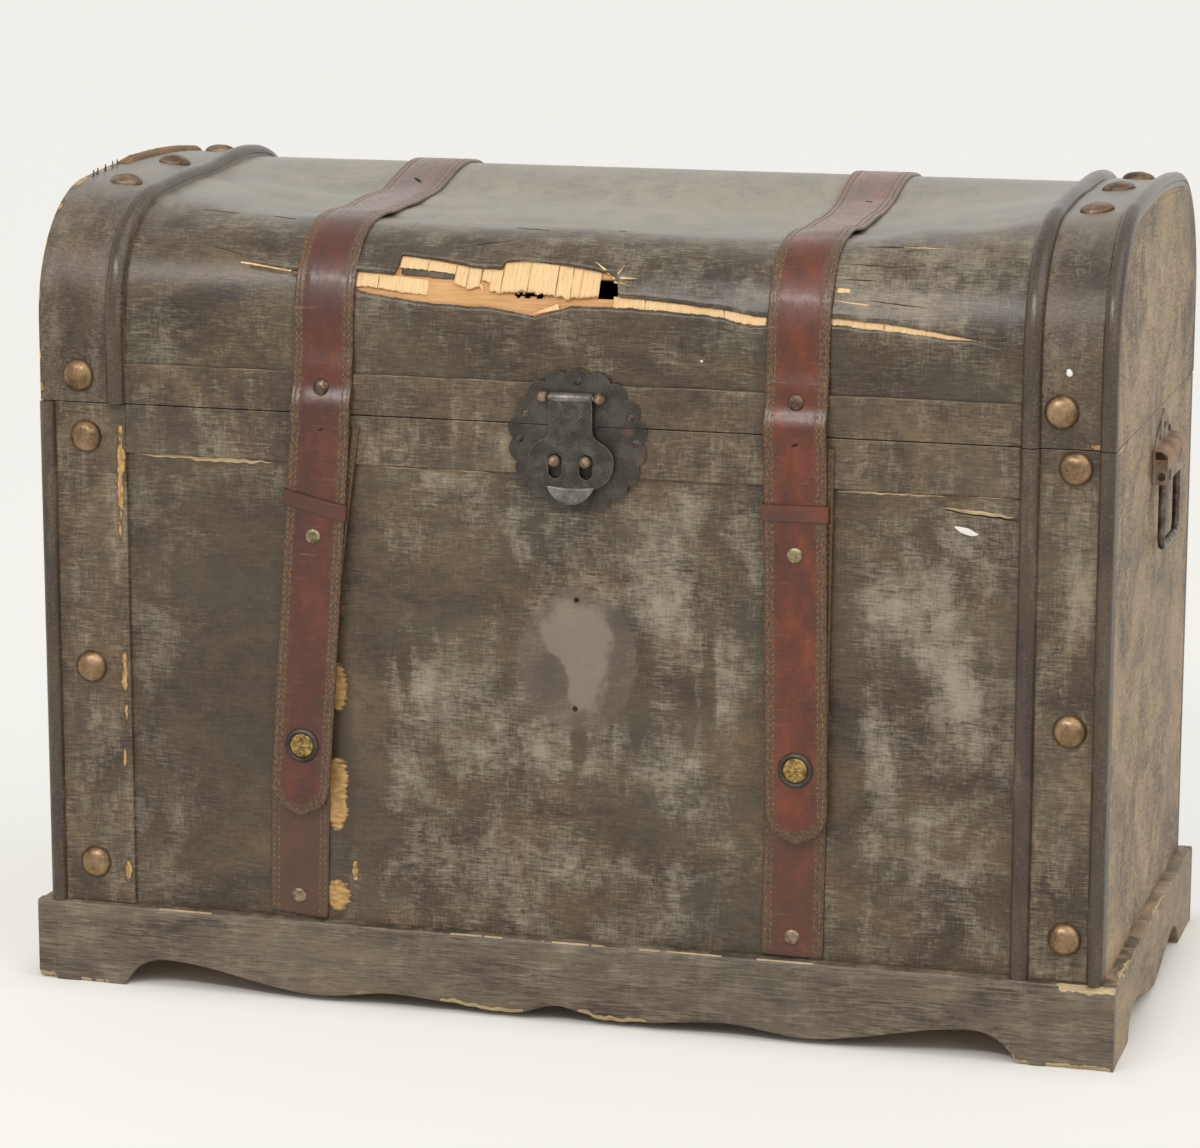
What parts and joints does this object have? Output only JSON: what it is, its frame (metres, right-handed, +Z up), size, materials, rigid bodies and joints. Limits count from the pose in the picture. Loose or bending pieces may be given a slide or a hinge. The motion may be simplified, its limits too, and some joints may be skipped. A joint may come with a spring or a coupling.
{
  "type": "dome top trunk",
  "caption": "Dome top storage trunk of stained ply with corner bands, dome nails, leather straps, a round hasp lock, end handles and a scalloped skirt.",
  "frame": {"origin": "on the floor under the middle of the case", "axes": "+X to the right of a person facing the front, +Y to the back, +Z up"},
  "size_m": [0.823, 0.4065, 0.6135],
  "materials": {
    "stained_ply": "worn dark stain",
    "dark_trim": "dark brown stain",
    "skirt_wood": "chipped dark stain",
    "plain_wood": "bare",
    "red_leather": "oxblood, worn edges",
    "aged_brass": "tarnished",
    "patinated_iron": "dark patina",
    "rusty_iron": "rusty",
    "hinge_steel": "dull"
  },
  "bodies": {
    "case": {"bottom_board": "plain_wood", "front_panel": "stained_ply", "back_panel": "stained_ply", "end_panel_left": "stained_ply", "end_panel_right": "stained_ply", "corner_blocks": "plain_wood", "skirt_front": "skirt_wood", "skirt_back": "skirt_wood", "skirt_left": "skirt_wood", "skirt_right": "skirt_wood", "case_band": "dark_trim", "corner_band_left": "dark_trim", "corner_band_right": "dark_trim", "case_bead_outer_left": "dark_trim", "case_bead_outer_right": "dark_trim", "case_bead_inner_right": "dark_trim", "case_dome_nails": "aged_brass", "hinge_leaves_case": "hinge_steel", "hinge_screws_case": "hinge_steel", "hinge_pins": "hinge_steel", "lock_plate_lower": "patinated_iron", "hasp_posts": "patinated_iron", "lock_brads_lower": "patinated_iron", "lower_strap_left": "red_leather", "lower_strap_right": "red_leather", "snap_studs": "aged_brass", "lower_strap_rivets": "aged_brass", "handle_bracket_left": "rusty_iron", "handle_bracket_right": "rusty_iron", "handle_brads": "rusty_iron"},
    "lid": {"dome_skin": "stained_ply", "lid_end_left": "stained_ply", "lid_end_right": "stained_ply", "lid_rails": "plain_wood", "lid_band": "dark_trim", "lid_corner_band_left": "dark_trim", "lid_corner_band_right": "dark_trim", "lid_bead_inner_left": "dark_trim", "lid_bead_inner_right": "dark_trim", "lid_bead_outer_right": "dark_trim", "lid_dome_nails": "aged_brass", "hinge_leaves_lid": "hinge_steel", "hinge_screws_lid": "hinge_steel", "lock_plate_upper": "patinated_iron", "hasp_pin": "patinated_iron", "lock_brads_upper": "patinated_iron", "lid_strap_left": "red_leather", "lid_strap_right": "red_leather", "strap_studs": "aged_brass"},
    "hasp": {"hasp": "patinated_iron"},
    "flap_left": {"strap_flap_left": "red_leather", "flap_rivet_left": "aged_brass", "snap_cap_left": "aged_brass"},
    "keeper_left": {"keeper_left": "red_leather"},
    "bail_left": {"handle_bail_left": "rusty_iron"},
    "flap_right": {"strap_flap_right": "red_leather", "flap_rivet_right": "aged_brass", "snap_cap_right": "aged_brass"},
    "keeper_right": {"keeper_right": "red_leather"},
    "bail_right": {"handle_bail_right": "rusty_iron"}
  },
  "joints": [
    {"name": "lid_hinge", "type": "hinge", "parent": "case", "child": "lid", "pos_m": [0, 0.1939, 0.4437], "axis": [-1, 0, 0], "range_deg": [0, 105]},
    {"name": "hasp_pivot", "type": "hinge", "parent": "lid", "child": "hasp", "pos_m": [0.0105, -0.1985, 0.4645], "axis": [-1, 0, 0], "range_deg": [0, 150]},
    {"name": "flap_fold_left", "type": "hinge", "parent": "lid", "child": "flap_left", "pos_m": [-0.178, -0.2004, 0.45], "axis": [-1, 0, 0], "range_deg": [0, 150]},
    {"name": "keeper_slide_left", "type": "slide", "parent": "flap_left", "child": "keeper_left", "axis": [0.068, 0, 0.9977], "range_m": [-0.008, 0.038]},
    {"name": "flap_fold_right", "type": "hinge", "parent": "lid", "child": "flap_right", "pos_m": [0.174, -0.2004, 0.45], "axis": [-1, 0, 0], "range_deg": [0, 150]},
    {"name": "keeper_slide_right", "type": "slide", "parent": "flap_right", "child": "keeper_right", "axis": [-0.014, 0, 0.9999], "range_m": [-0.014, 0.025]},
    {"name": "bail_swing_left", "type": "hinge", "parent": "case", "child": "bail_left", "pos_m": [-0.4065, 0.028, 0.396], "axis": [0, 1, 0], "range_deg": [0, 95]},
    {"name": "bail_swing_right", "type": "hinge", "parent": "case", "child": "bail_right", "pos_m": [0.4065, 0.028, 0.396], "axis": [0, -1, 0], "range_deg": [0, 95]}
  ]
}
